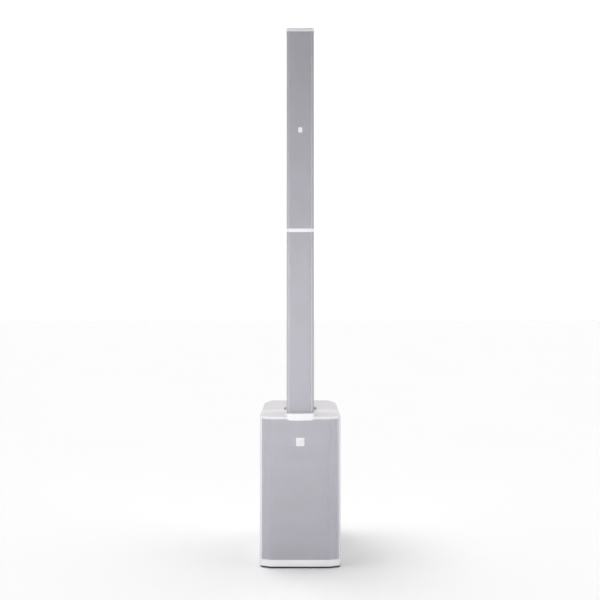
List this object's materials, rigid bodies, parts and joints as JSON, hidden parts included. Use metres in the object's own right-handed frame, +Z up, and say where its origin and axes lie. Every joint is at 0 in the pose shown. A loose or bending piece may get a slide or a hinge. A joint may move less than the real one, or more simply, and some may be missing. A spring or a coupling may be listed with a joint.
{
  "type": "column pa system",
  "caption": "White column PA system: a tall subwoofer base with a folded front grille, and a slim loudspeaker column in stacked sections that plug into its top.",
  "frame": {"origin": "on the floor, under the middle of the object's bounding box", "axes": "+Z up along the column, -Y towards the listener (the grilles' side), +X to the right as seen from the front"},
  "size_m": [0.3, 0.42, 2.004],
  "materials": {
    "cabinet_white": "fine-textured white paint on plywood",
    "column_white": "fine-textured light grey",
    "trim_white": "satin white moulding",
    "sub_grille_steel": "white powder coat, perforated",
    "column_grille_steel": "white powder coat, perforated",
    "badge_plate": "gloss",
    "black_plastic": "matte",
    "grip_plastic": "grained, light grey",
    "knob_plastic": "satin",
    "shaft_steel": "turned steel",
    "foot_rubber": "matte",
    "baffle_board": "black stain",
    "grille_foam": "open-cell acoustic foam",
    "driver_frame": "black stove enamel",
    "magnet": "ferrite and zinc-plated steel",
    "tweeter": "black anodised",
    "surround_rubber": "matte",
    "cone_paper": "coated pulp",
    "mid_driver": "black cone in a black frame",
    "panel_metal": "black powder coat",
    "heat_sink": "black anodised",
    "circuit_board": "solder mask",
    "display_glass": "gloss"
  },
  "bodies": {
    "sub_unit": {"cabinet": "cabinet_white", "base_plinth": "trim_white", "bottom_plate": "black_plastic", "foot_front_left": "foot_rubber", "foot_front_right": "foot_rubber", "foot_rear_left": "foot_rubber", "foot_rear_right": "foot_rubber", "top_cap": "trim_white", "dock_collar": "trim_white", "dock_connector": "black_plastic", "carry_handle": "grip_plastic", "front_baffle": "baffle_board", "sub_grille": "sub_grille_steel", "sub_grille_foam": "grille_foam", "sub_badge": "badge_plate", "woofer_basket_lower": "driver_frame", "woofer_basket_upper": "driver_frame", "woofer_magnet_lower": "magnet", "woofer_magnet_upper": "magnet", "woofer_surround_lower": "surround_rubber", "woofer_surround_upper": "surround_rubber", "reflex_port_left": "black_plastic", "reflex_port_right": "black_plastic", "rear_panel": "panel_metal", "display_window": "display_glass", "combo_jack_1": "black_plastic", "combo_jack_2": "black_plastic", "mains_inlet": "black_plastic", "heat_sink": "heat_sink", "amplifier_board": "circuit_board"},
    "lower_column": {"lower_housing": "column_white", "lower_grille": "column_grille_steel", "lower_foot_cap": "black_plastic", "lower_head_cap": "trim_white", "mid_driver_1": "mid_driver", "mid_driver_2": "mid_driver", "mid_driver_3": "mid_driver", "mid_driver_4": "mid_driver"},
    "upper_column": {"upper_housing": "column_white", "upper_grille": "column_grille_steel", "upper_foot_cap": "trim_white", "upper_top_cap": "trim_white", "column_badge": "badge_plate", "waveguide": "black_plastic", "tweeter_lower": "tweeter", "tweeter_upper": "tweeter", "mid_driver_5": "mid_driver", "mid_driver_6": "mid_driver", "mid_driver_7": "mid_driver", "mid_driver_8": "mid_driver"},
    "lower_cone": {"woofer_cone_lower": "cone_paper"},
    "upper_cone": {"woofer_cone_upper": "cone_paper"},
    "channel_knob_1": {"channel_knob_1": "knob_plastic"},
    "channel_knob_2": {"channel_knob_2": "knob_plastic"},
    "channel_knob_3": {"channel_knob_3": "knob_plastic"},
    "channel_knob_4": {"channel_knob_4": "knob_plastic"},
    "menu_shaft": {"menu_shaft": "shaft_steel"},
    "menu_knob": {"menu_knob": "knob_plastic"},
    "pairing_button": {"pairing_button": "knob_plastic"},
    "power_rocker": {"power_rocker": "black_plastic"}
  },
  "joints": [
    {"name": "lower_column_lift", "type": "slide", "parent": "sub_unit", "child": "lower_column", "axis": [0, 0, 1], "range_m": [0, 0.06]},
    {"name": "upper_column_lift", "type": "slide", "parent": "lower_column", "child": "upper_column", "axis": [0, 0, 1], "range_m": [0, 0.06]},
    {"name": "lower_cone_travel", "type": "slide", "parent": "sub_unit", "child": "lower_cone", "axis": [0, -1, 0], "range_m": [-0.006, 0.006], "stiffness_N_per_m": 1500, "deforming": ["woofer_surround_lower"]},
    {"name": "upper_cone_travel", "type": "slide", "parent": "sub_unit", "child": "upper_cone", "axis": [0, -1, 0], "range_m": [-0.006, 0.006], "stiffness_N_per_m": 1500, "deforming": ["woofer_surround_upper"]},
    {"name": "channel_1_level", "type": "hinge", "parent": "sub_unit", "child": "channel_knob_1", "pos_m": [0.066, 0.185, 0.41], "axis": [0, 1, 0], "range_deg": [-145, 145]},
    {"name": "channel_2_level", "type": "hinge", "parent": "sub_unit", "child": "channel_knob_2", "pos_m": [0.022, 0.185, 0.41], "axis": [0, 1, 0], "range_deg": [-145, 145]},
    {"name": "channel_3_level", "type": "hinge", "parent": "sub_unit", "child": "channel_knob_3", "pos_m": [-0.022, 0.185, 0.41], "axis": [0, 1, 0], "range_deg": [-145, 145]},
    {"name": "channel_4_level", "type": "hinge", "parent": "sub_unit", "child": "channel_knob_4", "pos_m": [-0.066, 0.185, 0.41], "axis": [0, 1, 0], "range_deg": [-145, 145]},
    {"name": "menu_press", "type": "slide", "parent": "sub_unit", "child": "menu_shaft", "axis": [0, -1, 0], "range_m": [0, 0.0006], "stiffness_N_per_m": 400},
    {"name": "menu_turn", "type": "hinge", "parent": "menu_shaft", "child": "menu_knob", "pos_m": [-0.04, 0.185, 0.47], "axis": [0, 1, 0], "continuous": true},
    {"name": "pairing_press", "type": "slide", "parent": "sub_unit", "child": "pairing_button", "axis": [0, -1, 0], "range_m": [0, 0.0012], "stiffness_N_per_m": 300},
    {"name": "power_switch", "type": "hinge", "parent": "sub_unit", "child": "power_rocker", "pos_m": [0.06, 0.184, 0.129], "axis": [-1, 0, 0], "range_deg": [0, 14]}
  ]
}
